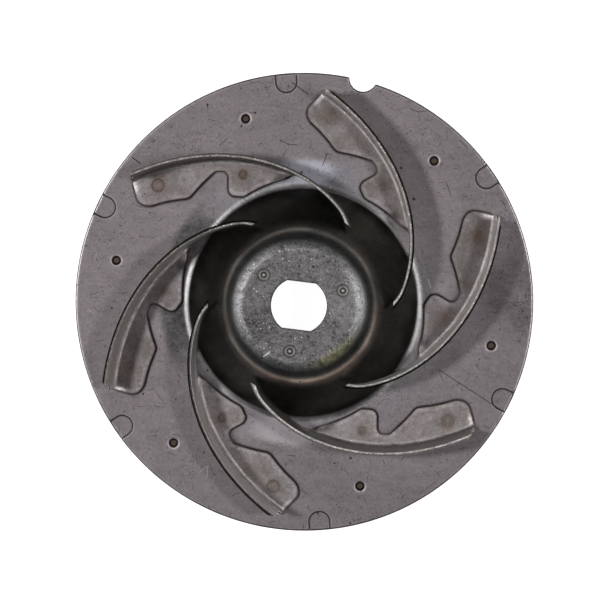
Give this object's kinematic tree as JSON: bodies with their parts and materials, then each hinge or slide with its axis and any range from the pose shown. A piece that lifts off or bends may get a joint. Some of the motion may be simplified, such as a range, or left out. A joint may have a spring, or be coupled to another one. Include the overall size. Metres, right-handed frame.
{
  "type": "stamped open pump impeller",
  "caption": "Open centrifugal pump impeller of pressed sheet steel: a round disc with a drawn hub and flatted bore, and curved vanes spot-welded on by their feet.",
  "frame": {"origin": "centre of the disc's back face, on the shaft axis", "axes": "+Z along the shaft axis, from the disc towards the hub's top and the vanes; the vanes' outer tips lead to larger angles about +Z than their inner ends"},
  "size_m": [0.12, 0.12, 0.021],
  "materials": {
    "disc_steel": "rolled sheet, dull grey, stained",
    "vane_steel": "rolled sheet with bright sheared edges and a brownish tint"
  },
  "bodies": {
    "root": {"disc": "disc_steel", "vane_1": "vane_steel", "vane_2": "vane_steel", "vane_3": "vane_steel", "vane_4": "vane_steel", "vane_5": "vane_steel", "vane_6": "vane_steel"}
  },
  "joints": []
}
